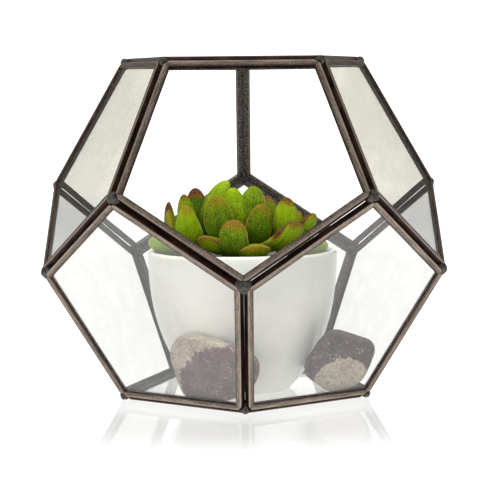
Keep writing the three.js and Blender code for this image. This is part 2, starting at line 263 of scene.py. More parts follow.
def frame_bars(name):
    """The section carried round five sides. A point of side k at the share s from the side's middle
    to its mitre stands at its apothem along the side's normal, and at s * apothem * tan(36 degrees)
    across it. Corners are nipped: a point past the nip is pushed back along the corner's direction.
    At the mitre the section shrinks into the sheet, which leaves a fine groove. Dark putty seals
    the pane's edge, so the web of a glazed frame is as thick as that."""
    section = channel_section(SHEET if name == "upper_1" else SEAL)
    forward = np.roll(section, -1, 0) - np.roll(section, 1, 0)
    inward = np.stack([forward[:, 1], -forward[:, 0]], 1)
    inward /= np.linalg.norm(inward, axis=1, keepdims=True)
    before_mitre = [-share for share in reversed(NEAR_MITRE)]
    shares = np.array([-1, *before_mitre, *np.linspace(-0.9, 0.9, 19), *NEAR_MITRE])
    azimuth, rise, spin = FACES[name]
    sides = []
    for k in range(5):
        angle = k * FIFTH
        normal = np.array([np.cos(angle), np.sin(angle), 0])
        across = np.array([-np.sin(angle), np.cos(angle), 0])
        middle = on_shell(normal * PENTAGON_APOTHEM, azimuth, rise, IN_RADIUS, spin)
        nearest = sorted(CENTRES, key=lambda other: np.linalg.norm(CENTRES[other] - middle))
        touching = set(nearest[:2])
        slit = np.full(len(shares), CLOSED_SLIT)
        for pair, width in OPEN_SLITS:
            if touching == pair:
                slit = CLOSED_SLIT + (width - CLOSED_SLIT) * np.clip(1.6 * np.abs(shares), 0.5, 1)
        worn = np.where(np.abs(shares) == 1, MITRE_GROOVE, 0)[:, None]
        back = section[:, 0] + worn * inward[:, 0]
        height = section[:, 1] + worn * inward[:, 1]
        apothem = PENTAGON_APOTHEM - slit[:, None] - back
        sideways = shares[:, None] * apothem * np.tan(FIFTH / 2)
        bar = normal * apothem[..., None] + across * sideways[..., None]
        bar[..., 2] = height
        for sign in (-1, 1):
            corner = normal * np.cos(FIFTH / 2) + across * sign * np.sin(FIFTH / 2)
            limit = PENTAGON_RADIUS - CORNER_NIP - np.minimum(back, SHEET)
            over = np.maximum(bar @ corner - limit, 0)
            bar -= over[..., None] * corner
        sides.append(bar)
    return section, shares, np.concatenate(sides)


def frame_piece(name, material):
    """A frame and its numbers per point: how far along and round its bars, which bar, whether on
    the outer or the inner flange, at a mitre, and how far back from the frame's outer edge."""
    section, shares, points = frame_bars(name)
    azimuth, rise, spin = FACES[name]
    back, height = section.T
    share, side = np.tile(shares, 5)[:, None], np.repeat(np.arange(5), len(shares))[:, None]
    fields = {
        "along": (share + 2 * side) * (PENTAGON_APOTHEM - back) * np.tan(FIFTH / 2),
        "girth": np.cumsum(np.linalg.norm(np.roll(section, -1, 0) - section, axis=1)),
        "bar": random.random(5)[side],
        "outer": np.clip((height - CHANNEL_THICKNESS + FLANGE_TO) / FLANGE_FADE, 0, 1),
        "inner": np.clip((FLANGE_TO - height) / FLANGE_FADE, 0, np.minimum(back * 3, 1)),
        "mitre": np.abs(share) == 1,
        "back": back,
    }
    rows, columns = points.shape[:2]
    fields = {field: np.broadcast_to(values, (rows, columns)) for field, values in fields.items()}
    placed = on_shell(points.reshape(-1, 3), azimuth, rise, IN_RADIUS, spin)
    faces = grid_faces(rows, columns, True)
    make_piece(f"channel_{name}", placed, [faces], material, [f"frame_{name}"], fields)


random = np.random.default_rng(12)
CENTRES = {n: on_shell(np.zeros(3), a, r, IN_RADIUS, s) for n, (a, r, s) in FACES.items()}

patina = Finish(bpy.data.materials.new("brown_patina"))
lengthwise, round_it, which = patina.field("along"), patina.field("girth"), patina.field("bar")
strip = patina.add("CombineXYZ", {}, {0: lengthwise * 0.11, 1: round_it * 2.6, 2: which * 90})
streaks = patina.noise(strip, 1.0, 4, 0.62)
broad = patina.noise(patina.stretched(strip, (0.6, 0.16, 1)), 1.0, 3)
grains = patina.noise(patina.place(), 1700, 4, 0.85)
outer, inner, back = patina.field("outer"), patina.field("inner"), patina.field("back")
rub = (streaks * 0.4 + broad * 0.35 + grains * 0.8).eased(0.62, 0.98)
flange = patina.blend(rub, (0.045, 0.032, 0.025), (0.36, 0.285, 0.225))
# The groove's web is dark patina, made darker still with painted shade.
groove_patina_and_shade = patina.blend(streaks.eased(0.35, 0.75), (0.014, 0.006, 0.004), (0.075, 0.036, 0.024))
groove_patina_and_shade = patina.blend(grains.eased(0.58, 0.7) * 0.2, groove_patina_and_shade, (0.45, 0.4, 0.36))
inside = patina.blend(streaks.eased(0.3, 0.7), (0.018, 0.014, 0.013), (0.075, 0.06, 0.056))
inside = patina.blend(grains.eased(0.52, 0.62) * 0.75, inside, (0.5, 0.47, 0.44))
# Painted highlight: the flanges are lighter near the outer fold, where their crown faces the light.
painted_fold_highlight = (streaks * 0.5 + grains * 0.7 - back * 0.45).eased(-0.1, 0.6)
flange = patina.blend(painted_fold_highlight * 0.4, flange, (0.5, 0.42, 0.35))
# Painted shade: the flanges darken towards the lip, where their crown turns away from the light.
flange = patina.blend((back + streaks * 0.8).eased(2.3, 3.1) * 0.75, flange, (0.035, 0.023, 0.018))
colour = patina.blend(inner, patina.blend(outer, groove_patina_and_shade, flange), inside)
# Painted shade: a dark line at each mitre stands for the shade of a gap between the bars.
colour = patina.blend(patina.field("mitre") * 0.8, colour, (0.02, 0.012, 0.009))
PATINA = patina.surface({
    "Base Color": colour,
    "Metallic": 0.75,
    "Roughness": 0.3 + streaks * 0.25 + inner * 0.15,
    "Normal": patina.bump(streaks * 0.5 + grains * 0.5, 0.0002, 0.6),
})
for name in FACES:
    frame_piece(name, PATINA)

# ---------------------------------------------------------------- panes
# Eleven pentagon panes of clear float glass, 2 mm thick, each held in its frame's channel. They
# are flat and plain, so the solids stay and take the glass. A thin film of dust tints them, grey
# on the lower ones and warmer on the upper ones.
DUST_TURNS_WARM = 0.085, 0.1
glass = Finish(bpy.data.materials.new("clear_glass"))
spot = glass.place()
film = glass.noise(glass.stretched(spot, (1, 1, 0.6)), 160, 4, 0.65).eased(0.35, 0.7)
lower = glass.blend(film, (0.875, 0.875, 0.86), (0.91, 0.91, 0.9))
upper = glass.blend(film, (0.955, 0.94, 0.87), (1, 0.99, 0.93))
solid = glass.add("BsdfPrincipled", {}, {
    "Base Color": glass.blend(glass.axis(spot, 2).eased(*DUST_TURNS_WARM), lower, upper),
    "Transmission Weight": 1.0,
    "Roughness": 0.0,
    "IOR": 1.5,
})
clear = glass.add("BsdfTransparent", {}, {"Color": (0.95, 0.95, 0.935, 1)})
for_shadow = glass.add("LightPath", {}, {}, "Is Shadow Ray")
for_bounce = glass.add("LightPath", {}, {}, "Is Diffuse Ray")
passing = for_shadow.maths("ADD", for_shadow, for_bounce, clamp=True)
both = glass.add("MixShader", {}, {0: passing, 1: solid, 2: clear})
GLASS = glass.add("OutputMaterial", {}, {"Surface": both})
for name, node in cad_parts.items():
    if name.startswith("pane_"):
        node.data.materials.clear()
        node.data.materials.append(GLASS)

# ---------------------------------------------------------------- solder joints
# Twenty lumps of tin solder, blackened with the frames, one at each corner where three frames
# meet. Each was run into the three grooves and lies almost flush over the frames' ends.
SOLDER_WIDE = 3.1
SOLDER_LOBES = 0.25
SOLDER_INSIDE = 3.2
SOLDER_LIFT = 0.1
SOLDER_RIM_SINKS = 3.5
SOLDER_SAG = 1.5
SOLDER_SOFTNESS = 0.4
SOLDER_RIPPLE = 0.16
SOLDER_INSIDE_RIPPLE = 0.3
CORNER_RADIUS = EDGE / 2 * np.sqrt(3) * GOLDEN
CORNER_TILT = np.arccos(IN_RADIUS / CORNER_RADIUS)
END_RISE = np.arctan2(IN_RADIUS, PENTAGON_RADIUS)
BELT_RISE = np.arctan2(IN_RADIUS - PENTAGON_RADIUS, PENTAGON_RADIUS * GOLDEN)


def ripple(points, wavelength, waves=14):
    """The mean of plane sine waves with random directions and phases and about this wavelength."""
    ways = random.normal(size=(waves, 3))
    ways /= np.linalg.norm(ways, axis=1, keepdims=True)
    lengths = wavelength * random.uniform(0.6, 1.5, waves)
    phases = random.uniform(0, 2 * np.pi, waves)
    return np.sin(points @ (ways / lengths[:, None]).T * 2 * np.pi + phases).mean(-1) * np.sqrt(2)


def tube_faces(rows, columns):
    """The faces of a tube of points whose two ends run to a point each: the grid's own, and a fan
    to the first end's point, then a fan to the last end's."""
    column = np.arange(columns)
    following = (column + 1) % columns
    first, last = np.full(columns, rows * columns), np.full(columns, rows * columns + 1)
    end = (rows - 1) * columns
    fans = np.stack([first, following, column], 1), np.stack([last, end + column, end + following], 1)
    return [grid_faces(rows, columns, False), *fans]


def solder_lump(size, rows=14, columns=48):
    """Seen from the corner, with Z out of the shell. The rim swells into the three grooves and
    draws in over the frames. The top lies on the frames' outer faces, each of which falls away as
    tan(tilt) times the distance towards its middle. They are blended by a smooth minimum,
    -k log(sum exp(-z / k)). The top is lifted a little in the middle, sunk at the rim, and sags into
    the grooves. The underside is half an ellipsoid, inside the terrarium. Both are rippled."""
    angle = np.linspace(0, 2 * np.pi, columns, endpoint=False)
    edge = np.stack([np.cos(angle), np.sin(angle), 0 * angle], 1) * SOLDER_WIDE
    lobes = 1 - SOLDER_LOBES * np.cos(3 * angle) + SOLDER_RIPPLE * ripple(edge, 4)
    share = np.sin(np.linspace(0, 0.5 * np.pi, rows + 1)[1:])[:, None]
    radius = share * (size * SOLDER_WIDE * lobes)
    falls = [np.cos(angle - k * 2 * np.pi / 3) * radius * np.tan(CORNER_TILT) for k in range(3)]
    peak, soft = CHANNEL_THICKNESS / np.cos(CORNER_TILT), SOLDER_SOFTNESS
    top = -soft * np.log(np.exp((np.array(falls) - peak) / soft).sum(0))
    flat = np.stack([radius * np.cos(angle), radius * np.sin(angle), 0 * radius], -1)
    top = top + SOLDER_LIFT * (1 - SOLDER_RIM_SINKS * share**6) + SOLDER_RIPPLE * ripple(flat, 2)
    top = top - SOLDER_SAG * share**2 * np.maximum(-np.cos(3 * angle), 0)
    middle = peak - soft * np.log(3) + SOLDER_LIFT
    fall = np.sqrt(np.maximum(1 - share[::-1] ** 2, 0))
    depth = SOLDER_INSIDE + SOLDER_INSIDE_RIPPLE * ripple(flat[::-1], 3)
    under = top[-1] * (1 - fall) - depth * fall
    upper = np.concatenate([flat[..., :2], top[..., None]], -1)
    lower = np.concatenate([flat[::-1, :, :2] * 0.97, under[..., None]], -1)[1:]
    ends = np.array([[0, 0, middle], [0, 0, -SOLDER_INSIDE]])
    grid = np.concatenate([upper, lower])
    return np.concatenate([grid.reshape(-1, 3), ends]), tube_faces(len(grid), columns)


tin = Finish(bpy.data.materials.new("dark_solder"))
crust = tin.noise(tin.place(), 700, 4, 0.6)
fine = tin.noise(tin.place(), 3200, 3, 0.7)
dull = (crust * 0.6 + fine * 0.4).eased(0.36, 0.66)
SOLDER = tin.surface({
    "Base Color": tin.blend(dull, (0.022, 0.019, 0.016), (0.12, 0.108, 0.092)),
    "Metallic": 0.7,
    "Roughness": 0.62 - dull * 0.18,
    "Normal": tin.bump(crust * 0.7 + fine * 0.3, 0.0004, 0.6),
})
for k in range(5):
    even = FRONT + k * FIFTH
    odd = even + FIFTH / 2
    for name, size, azimuth, rise, spin in [
        ("foot", 0.72, even, -END_RISE, 0),
        ("low", 1.08, even, -BELT_RISE, np.pi),
        ("high", 0.9, odd, BELT_RISE, 0),
        ("top", 0.68, odd, END_RISE, np.pi),
    ]:
        points, faces = solder_lump(size)
        placed = on_shell(points, azimuth, rise, CORNER_RADIUS, spin)
        placed = np.clip(placed, *(np.array(cad_box) / MM))
        joint = f"{name}_{k + 1}"
        make_piece(f"lump_{joint}", placed, faces, SOLDER, [f"solder_{joint}"])

# ---------------------------------------------------------------- pot
# A small cast pot with a thick white glaze, egg-shaped below a plain rim. It stands on the bottom
# pane. The glaze pools into soft rings. A painted highlight makes it a brighter, warmer white over
# the rim.
POT_RADIUS = 45.3
POT_TOP = 70.4
POT_WALL = 3.2
POT_FLOOR = 5
POT_FOOT = 2.8
POT_FOOT_BEVEL = 0.8
POT_LIP = 1.6
POT_RIM_HIGHLIGHT_BAND = 3
POT_CURVE_DEPTH = 77
POT_CURVE_POWER = 2.3
POT_CURVE_ROUND = 0.556
POT_AXIS = np.array([-0.8, 0, 0])


def pot_radius(height):
    """R * (1 - depth^power)^round, where depth is the share of the curve's full depth below the
    rim."""
    depth = (POT_TOP - height) / POT_CURVE_DEPTH
    return POT_RADIUS * (1 - depth**POT_CURVE_POWER) ** POT_CURVE_ROUND


def revolved(profile, columns):
    """Points of a profile (radius, height) turned about the pot's axis. Its two ends lie on it."""
    angle = np.linspace(0, 2 * np.pi, columns, endpoint=False)
    radius, height = profile[1:-1, :1], profile[1:-1, 1:]
    around = [radius * np.cos(angle), radius * np.sin(angle), height + 0 * angle]
    grid = np.stack(around, -1).reshape(-1, 3)
    ends = np.array([[0, 0, profile[0, 1]], [0, 0, profile[-1, 1]]])
    return np.concatenate([grid, ends]) + POT_AXIS, tube_faces(len(profile) - 2, columns)


def pot_profile():
    """Up the outside, over the rim as half an ellipse a wall wide, down the inside to the floor."""
    low, shoulder, bottom = POT_FOOT + POT_FOOT_BEVEL, POT_TOP - POT_LIP, POT_FOOT + POT_FLOOR
    foot, bowl = pot_radius(low), pot_radius(bottom + 1) - POT_WALL
    base = [(0, 0.6), (foot - 6, 0.6), (foot - 5, 0), (foot - 1, 0), (foot - 0.25, 0.25)]
    outside = np.linspace(low, shoulder, 40)
    inside = np.linspace(shoulder, bottom + 1, 24)
    turn = np.linspace(0, np.pi, 13)[1:-1]
    across = POT_RADIUS + POT_WALL / 2 * (np.cos(turn) - 1)
    return np.concatenate([
        base + np.array([0, POT_FOOT]),
        np.stack([pot_radius(outside), outside], 1),
        np.stack([across, shoulder + POT_LIP * np.sin(turn)], 1),
        np.stack([pot_radius(inside) - POT_WALL, inside], 1),
        [(bowl - 1.5, bottom), (0, bottom)],
    ])


glaze = Finish(bpy.data.materials.new("white_glaze"))
spot = glaze.place()
rings = glaze.noise(glaze.stretched(spot, (6, 6, 420)), 1.0, 2)
pooling = glaze.noise(spot, 60, 2)
# Painted highlight: a band at the top of the rim is a brighter, warmer white.
painted_rim_highlight = glaze.axis(spot, 2).eased((POT_TOP - POT_RIM_HIGHLIGHT_BAND) * MM, POT_TOP * MM)
white = glaze.blend(pooling.eased(0.3, 0.7), (0.77, 0.77, 0.745), (0.81, 0.81, 0.785))
pits = glaze.spots(spot, 260).eased(0.075, 0.045)
pitted = glaze.blend(pits * 0.5, white, (0.45, 0.43, 0.4))
GLAZE = glaze.surface({
    "Base Color": glaze.blend(painted_rim_highlight, pitted, (0.9, 0.885, 0.81)),
    "Roughness": 0.2 + pooling * 0.08,
    "Specular IOR Level": 0.3,
    "Coat Weight": 0.2,
    "Coat Roughness": 0.06,
    "Normal": glaze.bump(rings * 0.6 + pooling * 0.4, 0.0009, 0.35),
})
points, faces = revolved(pot_profile(), 144)
make_piece("glazed_pot", points, faces, GLAZE, ["pot"])

# ---------------------------------------------------------------- potting mix
# Dark bark and peat that fills the pot, highest between the stems. Chips of bark lie on it.
SOIL_TOP = 64
SOIL_EDGE = 61.5
SOIL_GAP = 0.25
CHIPS = 420


def soil_height(radius):
    """It falls with the square of the radius, from the middle to the edge."""
    return SOIL_TOP - (SOIL_TOP - SOIL_EDGE) * (radius / POT_RADIUS) ** 2


def soil_points(columns):
    """The inside of the pot turned about its axis, closed above by a rippled mound."""
    bottom = POT_FOOT + POT_FLOOR
    sides = np.linspace(bottom + 1.2, SOIL_EDGE - 0.4, 16)
    wall = np.stack([pot_radius(sides) - POT_WALL - SOIL_GAP, sides], 1)
    radius = np.linspace(pot_radius(SOIL_EDGE) - POT_WALL - SOIL_GAP, 0, 46)
    mound = np.stack([radius, soil_height(radius)], 1)
    points, faces = revolved(np.concatenate([[(0, bottom + 0.3)], wall, mound]), columns)
    top = points[:, 2] > SOIL_EDGE - 0.2
    points[:, 2] += top * (0.55 * ripple(points, 3.1, 30) + 0.4 * ripple(points, 8))
    return points, faces


def bark_chips():
    """Boxes with random sides and turns, each corner moved a little, scattered over the mound."""
    corners = np.array([[x, y, z] for x in (-1, 1) for y in (-1, 1) for z in (-1, 1)], float)
    quads = np.array([
        [0, 1, 3, 2], [4, 6, 7, 5], [0, 4, 5, 1], [2, 3, 7, 6], [0, 2, 6, 4], [1, 5, 7, 3],
    ])
    sizes = random.uniform([0.5, 0.4, 0.25], [2.2, 1.3, 0.6], (CHIPS, 3))
    chips = corners * sizes[:, None] * random.uniform(0.7, 1.1, (CHIPS, 8, 3))
    radius = (pot_radius(SOIL_EDGE) - POT_WALL - 2.4) * np.sqrt(random.random(CHIPS))
    angle, turn, tip = random.uniform(0, 2 * np.pi, (3, CHIPS))
    tip = (tip / np.pi - 1) * 0.5
    places = np.stack([radius * np.cos(angle), radius * np.sin(angle), soil_height(radius) + 0.5], 1)
    turned = [chip @ tip_y(t) @ turn_z(a) for chip, t, a in zip(chips, tip, turn)]
    chips = np.stack(turned) + places[:, None]
    faces = quads[None] + 8 * np.arange(CHIPS)[:, None, None]
    return chips.reshape(-1, 3) + POT_AXIS, faces.reshape(-1, 4)


peat = Finish(bpy.data.materials.new("dark_peat"))
crumbs = peat.noise(peat.place(), 700, 5, 0.65)
lumps = peat.spots(peat.place(), 420)
PEAT = peat.surface({
    "Base Color": peat.blend(crumbs.eased(0.35, 0.7), (0.018, 0.011, 0.007), (0.12, 0.07, 0.04)),
    "Roughness": 0.95,
    "Normal": peat.bump(crumbs * 0.6 + lumps * 0.5, 0.0012, 0.9),
})
points, faces = soil_points(120)
make_piece("peat_fill", points, faces, PEAT, ["potting_mix"])
points, faces = bark_chips()
make_piece("bark_chips", points, [faces], PEAT, [], smooth=False)

# ---------------------------------------------------------------- succulent
# A stonecrop of three heads, each a short stem with thick paddle leaves, rooted in the potting mix.
# The leaves are lime green with a pale bloom of fine dots, and flushed red-brown on tips and edges.
# Painted shade darkens them towards the root, painted light brightens them towards the tip, and
# their pale margins are partly a painted rim light.
STEM_RADIUS = 4.2
STEM_DEPTH = 14
STEM_SHOULDER = 4.2
STEM_TOP = 7
STEM_TOP_RADIUS = 2.5
COLLAR = SOIL_TOP + 2
LEAF_THICKNESS = 6.6
LEAF_WIDEST = 0.55
LEAF_THICKEST = 0.6
LEAF_ROOT_OUT = 1.7
LEAF_ROOT_RISE = 0.2
# For each leaf: turn, reach, rise, width, curl, face and how blunt its tip is, then how red its tip
# and its edges are, and how bright its green is. That green is raised as painted light on the two
# low leaves at the sides, which lie in shade.
HEADS = {
    "left": ((-20.7, 4), [
        (176, 15, 27, 12.5, 1.1, 176, 1.6, 0.8, 0.35, 0.6),
        (-118, 13.5, 26, 13.5, 0.8, -100, 1.4, 0.4, 0.15, 0.95),
        (160, 8.2, 30.5, 10.5, 0.5, 100, 1.5, 0.55, 0.2, 0.7),
        (108, 7, 33.3, 11.5, 0.3, 95, 2.4, 1.0, 1.0, 0.15),
        # Painted light: this low side leaf is brighter because it lies in shade.
        (-152, 25.5, 11, 17, 0.2, -104, 2.4, 0.0, 0.1, 1.3),
        (20, 15, 36.6, 11, -0.5, 62, 2.5, 0.1, 0.15, 0.75),
        (142, 17, 16, 13, 0.4, 142, 2.2, 0.2, 0.2, 0.5),
        (92, 22, 15, 14, 0.4, 92, 2.2, 0.2, 0.2, 0.5),
    ]),
    "middle": ((0, -5), [
        (-143, 15, 31, 15, 1, -98, 3.2, 0.28, 0.2, 0.45),
        (146, 5.5, 34, 11.3, 0.2, 88, 2.8, 0.0, 0.1, 0.75),
        (45, 8.7, 34.5, 14.5, 0.3, 75, 2.4, 0.1, 0.15, 0.5),
        (-40, 12, 26.7, 13.5, 0.9, -82, 2.2, 0.3, 0.4, 0.42),
        (-98, 26.5, 20.8, 14, 1.7, -95, 3.6, 0.42, 0.25, 0.42),
        (-77, 32, 8.6, 16.5, 0.4, -77, 2.4, 0.35, 0.3, 0.6),
        (-140, 25.5, 12, 15, 0.3, -122, 1.8, 0.5, 0.5, 0.7),
        (-30, 29.4, 19, 17, 0.8, -50, 2.8, 0.5, 0.75, 0.85),
        (88, 30, 14, 15, 0.4, 88, 2.2, 0.2, 0.2, 0.5),
    ]),
    "right": ((20.6, 5), [
        (-84, 9, 29.3, 12.6, 0.4, -95, 1.9, 0.6, 0.3, 0.9),
        (160, 9, 29, 11, 0.4, 120, 2.0, 0.7, 0.7, 0.55),
        (12, 6, 22.5, 12.5, 0.4, 60, 2.2, 0.5, 0.6, 0.7),
        (-14, 15, 21, 11, 0.2, -50, 2.2, 0.4, 0.8, 0.75),
        # Painted light: this low side leaf is brighter because it lies in shade.
        (-32, 22, 8.5, 17, 0.1, -78, 2.4, 0.0, 0.1, 1.3),
        (35, 17, 16, 13, 0.4, 35, 2.2, 0.2, 0.2, 0.5),
        (85, 22, 15, 14, 0.4, 85, 2.2, 0.2, 0.2, 0.5),
    ]),
}


def leaf_width(share, blunt):
    """Half width as a share of the largest: a sine from 0.5 at the root to 1 where it is widest,
    then (1 - x^blunt)^0.5 to the tip, where x runs from 0 to 1."""
    rising = 0.5 + 0.5 * np.sin(np.pi / 2 * np.minimum(share / LEAF_WIDEST, 1))
    return rising * np.sqrt(1 - np.clip((share - LEAF_WIDEST) / (1 - LEAF_WIDEST), 0, 1) ** blunt)


def leaf_thickness(share):
    """As the width, from 0.45 at the root, with the power 1.5 towards the tip."""
    rising = 0.45 + 0.55 * np.sin(np.pi / 2 * np.minimum(share / LEAF_THICKEST, 1))
    falling = np.clip((share - LEAF_THICKEST) / (1 - LEAF_THICKEST), 0, 1)
    return rising * np.sqrt(1 - falling**1.5)


def leaf_points(turn, reach, rise, width, curl, face, blunt, rows=46, columns=40):
    """A lens-shaped section carried along a quadratic curve in the upright plane of its turn. The
    curve runs from inside the stem to the tip. The section's flat side is turned to the face, and
    lies square to the curve. It swells and shrinks a little along the way. Each point also gets
    its share of the length and its distance from the midline, as a share of the half width."""
    turn, face = np.radians(turn), np.radians(face)
    away, up = np.array([np.cos(turn), np.sin(turn), 0]), np.array([0, 0, 1])
    root = away * LEAF_ROOT_OUT + up * rise * LEAF_ROOT_RISE
    handle = away * reach * (0.5 + 0.5 * curl) + up * rise * (0.55 - 0.25 * curl)
    tip = away * reach + up * rise
    share = np.sin(np.linspace(0, np.pi / 2, rows + 1)[:-1])[:, None]
    middle = (1 - share) ** 2 * root + 2 * share * (1 - share) * handle + share**2 * tip
    along = (1 - share) * (handle - root) + share * (tip - handle)
    along /= np.linalg.norm(along, axis=1, keepdims=True)
    through = np.cross(along, [-np.sin(face), np.cos(face), 0])
    through /= np.linalg.norm(through, axis=1, keepdims=True)
    across = np.cross(through, along)
    angle = np.linspace(0, 2 * np.pi, columns, endpoint=False)[None, :]
    wide = width / 2 * leaf_width(share, blunt) * np.cos(angle)
    lens = np.sin(angle) * np.abs(np.sin(angle)) ** 0.18
    thick = LEAF_THICKNESS / 2 * leaf_thickness(share) * lens
    spread = wide[..., None] * across[:, None] + thick[..., None] * through[:, None]
    smooth = spread + middle[:, None]
    swell = 1 + 0.05 * ripple(smooth, 9) + 0.025 * ripple(smooth, 3)
    grid = middle[:, None] + spread * swell[..., None]
    points = np.concatenate([grid.reshape(-1, 3), [root, tip]])
    length, margin = (
        np.append(np.broadcast_to(values, (rows, columns)), [0, 1])
        for values in (share, np.abs(np.cos(angle)))
    )
    return points, tube_faces(rows, columns), length, margin


def stem_points(columns=24):
    """A round stem from below the potting mix to a blunt top among the leaves."""
    foot = [(0, -STEM_DEPTH), (STEM_RADIUS, -STEM_DEPTH + 0.3)]
    top = [(STEM_RADIUS, STEM_SHOULDER), (STEM_TOP_RADIUS, STEM_TOP), (0, STEM_TOP)]
    points, faces = revolved(np.array(foot + top), columns)
    return points - POT_AXIS, faces


def succulent_head(name, material):
    """The stem and its leaves in one mesh. Each point carries how far along its leaf and how near
    the leaf's margin it is, the leaf's tones, whose brightness is partly painted light, and a
    random number."""
    (x, y), leaves = HEADS[name]
    points, faces = stem_points()
    parts, cells, start = [points], [*faces], len(points)
    fields = {
        field: [np.zeros(start)]
        for field in ("length", "margin", "tip_red", "edge_red", "green_and_painted_light", "leaf")
    }
    for *shape, tip_red, edge_red, green_and_painted_light in leaves:
        points, faces, length, margin = leaf_points(*shape)
        parts.append(points)
        cells += [part + start for part in faces]
        start += len(points)
        values = length, margin, tip_red, edge_red, green_and_painted_light, random.random()
        for rows, value in zip(fields.values(), values):
            rows.append(np.broadcast_to(value, len(points)))
    placed = np.concatenate(parts) + [x, y, COLLAR] + POT_AXIS
    fields = {field: np.concatenate(rows) for field, rows in fields.items()}
    make_piece(f"head_{name}", placed, cells, material, [f"succulent_{name}"], fields)


leaf = Finish(bpy.data.materials.new("lime_leaf"))
spot = leaf.place()
length, margin = leaf.field("length"), leaf.field("margin")
mottle = leaf.noise(spot, 210, 3, 0.55)
grainy = leaf.noise(spot, 1500, 3, 0.75)
strip = leaf.add("CombineXYZ", {}, {0: length * 2.2, 1: margin * 6, 2: leaf.field("leaf") * 70})
veins = leaf.noise(strip, 1.0, 3, 0.6)
beads = leaf.spots(spot, 1300).eased(0.5, 0.15)
green_and_painted_light = leaf.field("green_and_painted_light")
# Painted light: the leaves brighten towards the tip. Below, painted shade darkens them at the root.
bright = green_and_painted_light * 0.85 + length * 0.55 + mottle * 0.4 + veins * 0.5 + grainy + beads * 0.3
body = leaf.blend((bright - 1.55).eased(0.0, 0.95), (0.045, 0.09, 0.0003), (0.33, 0.5, 0.003))
body = leaf.blend(length.eased(0.62, 0.12) * 0.9, body, (0.018, 0.04, 0.0008))
# Partly the leaves' own pale margin, partly a painted rim light along their edges.
pale_margin_and_rim_light = (margin + mottle * 0.1).eased(0.94, 1.04) * length.eased(0.3, 0.6)
body = leaf.blend(pale_margin_and_rim_light * 0.4, body, (0.5, 0.62, 0.1))
ragged = mottle * 0.3 + grainy * 0.25 - 0.27
toward_tip = (length + ragged).eased(0.82, 0.97) * leaf.field("tip_red")
toward_edge = (margin + ragged).eased(0.79, 0.98) * length.eased(0.35, 0.7)
toward_edge = toward_edge * leaf.field("edge_red")
flush = toward_tip.maths("MAXIMUM", toward_tip, toward_edge) * (0.5 + grainy)
body = leaf.blend(flush.eased(0.0, 0.45) * 0.6, body, (0.34, 0.1, 0.012))
body = leaf.blend(flush.eased(0.28, 0.7) * 0.9, body, (0.085, 0.014, 0.012))
frost = leaf.noise(spot, 1700, 3, 0.7).eased(0.6, 0.68)
body = leaf.blend(frost * 0.4, body, (0.7, 0.76, 0.3))
LEAF = leaf.surface({
    "Base Color": body,
    "Roughness": 0.4 + grainy * 0.2,
    "Specular IOR Level": 0.14,
    "Subsurface Weight": 0.08,
    "Subsurface Radius": (0.5, 1.0, 0.12),
    "Subsurface Scale": 0.0018,
    "Normal": leaf.bump(grainy * 0.7 + beads * 0.5, 0.0006, 0.9),
})
for name in HEADS:
    succulent_head(name, LEAF)

# ---------------------------------------------------------------- pebbles
# Two worn blocks of purple-grey stone with a sandy rind, which lie on the bottom pane. The left one
# has its purple heart on its front, the right one on its top and a patch of rind at the foot.
GLASS_TOP = 2.7
PEBBLE_LIFT = 0.3
PEBBLE_WEAR = 8
PEBBLES = {
    "left": ((-14, -43.25), [
        (-0.957, 0, -0.288, 18.8), (0.05, 0, -1, 16.2), (0.7, 0, -0.71, 17.5), (0.99, 0, -0.11, 20.4),
        (0.563, 0, 0.826, 16.8), (0.2, 0, 0.98, 14.4), (-0.65, 0, 0.76, 20.2),
        (-0.588, -0.809, -0.45, 8), (0.588, 0.809, 0.45, 7),
    ]),
    "right": ((44, -20), [
        (0.361, 0, 0.933, 15), (0.957, 0, -0.291, 14.9), (0.674, 0, -0.739, 15.2),
        (0.173, 0, -0.985, 15.1), (-0.646, 0, -0.763, 14.4), (-0.89, 0, 0.455, 14),
        (-0.616, 0, 0.788, 16.2), (0.259, -0.966, -0.45, 8.8), (-0.259, 0.966, 0.45, 8),
    ]),
}


def pebble_points(name, rows=90, columns=150):
    """Each direction from the middle reaches as far as the power mean of the facets' planes, and a
    fine ripple pits the skin. The lowest point rests just over the glass."""
    (x, y), facets = PEBBLES[name]
    facets = np.array(facets, float)
    normals = facets[:, :3] / np.linalg.norm(facets[:, :3], axis=1, keepdims=True)
    fall = np.linspace(0, np.pi, rows + 2)[1:-1, None]
    angle = np.linspace(0, 2 * np.pi, columns, endpoint=False)[None, :]
    out = np.sin(fall)
    ways = np.stack([out * np.cos(angle), out * np.sin(angle), np.cos(fall) + 0 * angle], -1)
    ways = np.concatenate([ways.reshape(-1, 3), [[0, 0, 1], [0, 0, -1]]])
    facing = np.maximum(ways @ normals.T / facets[:, 3], 0)
    points = ways * (facing**PEBBLE_WEAR).sum(1, keepdims=True) ** (-1 / PEBBLE_WEAR)
    points = points * (1 + 0.006 * ripple(points, 5) + 0.003 * ripple(points, 1.6, 24))[:, None]
    points += [x, y, GLASS_TOP + PEBBLE_LIFT - points[:, 2].min()]
    return points, tube_faces(rows, columns)


